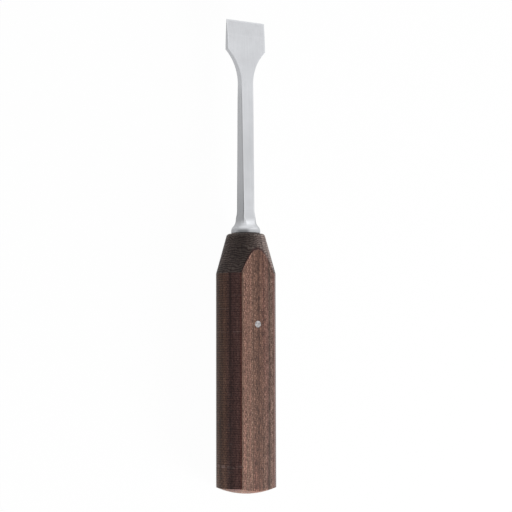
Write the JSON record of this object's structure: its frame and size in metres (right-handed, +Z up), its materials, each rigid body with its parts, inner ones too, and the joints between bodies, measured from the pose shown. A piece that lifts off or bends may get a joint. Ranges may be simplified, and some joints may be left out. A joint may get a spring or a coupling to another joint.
{
  "type": "osteotome",
  "caption": "Straight surgical chisel with a flat double-bevelled steel blade, a round bolster and a fabric-laminate handle with two flats, pinned to the tang.",
  "frame": {"origin": "on the plane that the tool lies on, straight under its long axis, halfway along its overall length", "axes": "+Y along the tool's axis towards the cutting edge, +X across the blade's width, +Z up, square to the blade's flat"},
  "size_m": [0.027, 0.215, 0.0212],
  "materials": {
    "steel": "satin brushed stainless steel",
    "laminate": "brown cotton-fabric phenolic laminate, machined and lightly polished",
    "pin_steel": "ground flush"
  },
  "bodies": {
    "root": {"blade": "steel", "handle": "laminate", "pin": "pin_steel"}
  },
  "joints": []
}
